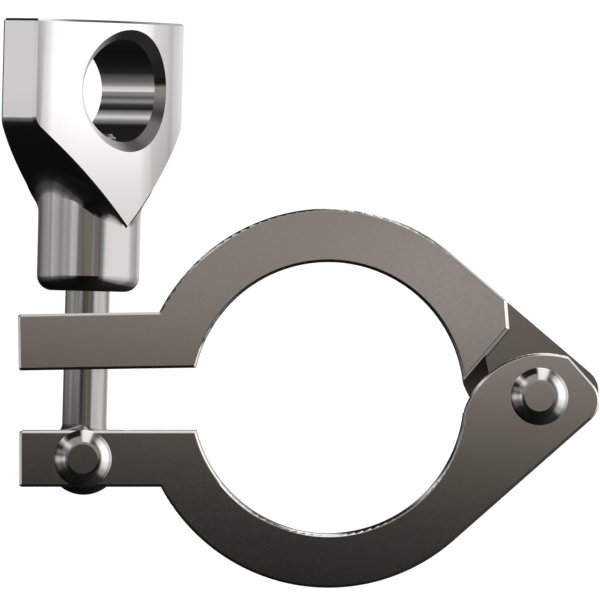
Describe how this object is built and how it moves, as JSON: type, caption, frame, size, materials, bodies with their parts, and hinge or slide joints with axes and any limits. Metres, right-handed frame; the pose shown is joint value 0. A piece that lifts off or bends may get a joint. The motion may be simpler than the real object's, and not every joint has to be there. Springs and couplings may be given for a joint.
{
  "type": "sanitary hinged clamp",
  "caption": "Hinged clamp for sanitary ferrules: alike grooved jaws on a riveted half-lap hinge, drawn shut by a swinging eye bolt and a wing nut.",
  "frame": {"origin": "centre of the ferrules that the jaws hold, halfway through the thickness of the jaws", "axes": "+Z along the ferrules' axis, out of the face that shows the lower jaw's lug; +X towards the hinge; +Y across the parting of the jaws, towards the wing nut. The clamp lies on its back, as it would on a bench"},
  "size_m": [0.0973, 0.0935, 0.0302],
  "materials": {
    "cast_steel": "investment cast and tumbled bright, with softly rounded edges",
    "turned_steel": "turned and polished bright",
    "polished_steel": "cast, machined and polished bright"
  },
  "bodies": {
    "lower_jaw": {"lower_half": "cast_steel", "hinge_pin": "turned_steel", "bolt_pin": "turned_steel"},
    "upper_jaw": {"upper_half": "cast_steel"},
    "swing_bolt": {"eye_bolt": "turned_steel"},
    "nut": {"wing_nut": "polished_steel"}
  },
  "joints": [
    {"name": "jaw_hinge", "type": "hinge", "parent": "lower_jaw", "child": "upper_jaw", "pos_m": [0.0345, 0, 0], "axis": [0, 0, -1], "range_deg": [-6.5, 9]},
    {"name": "bolt_swing", "type": "hinge", "parent": "lower_jaw", "child": "swing_bolt", "pos_m": [-0.04018, -0.00958, 0], "axis": [0, 0, 1], "range_deg": [-4, 180]},
    {"name": "nut_travel", "type": "slide", "parent": "swing_bolt", "child": "nut", "axis": [0.0323, 0.9995, 0], "range_m": [-0.0085, 0.0118]}
  ],
  "couplings": [
    {"joint": "nut_travel", "follows": "jaw_hinge", "m_per_rad": 0.074}
  ]
}
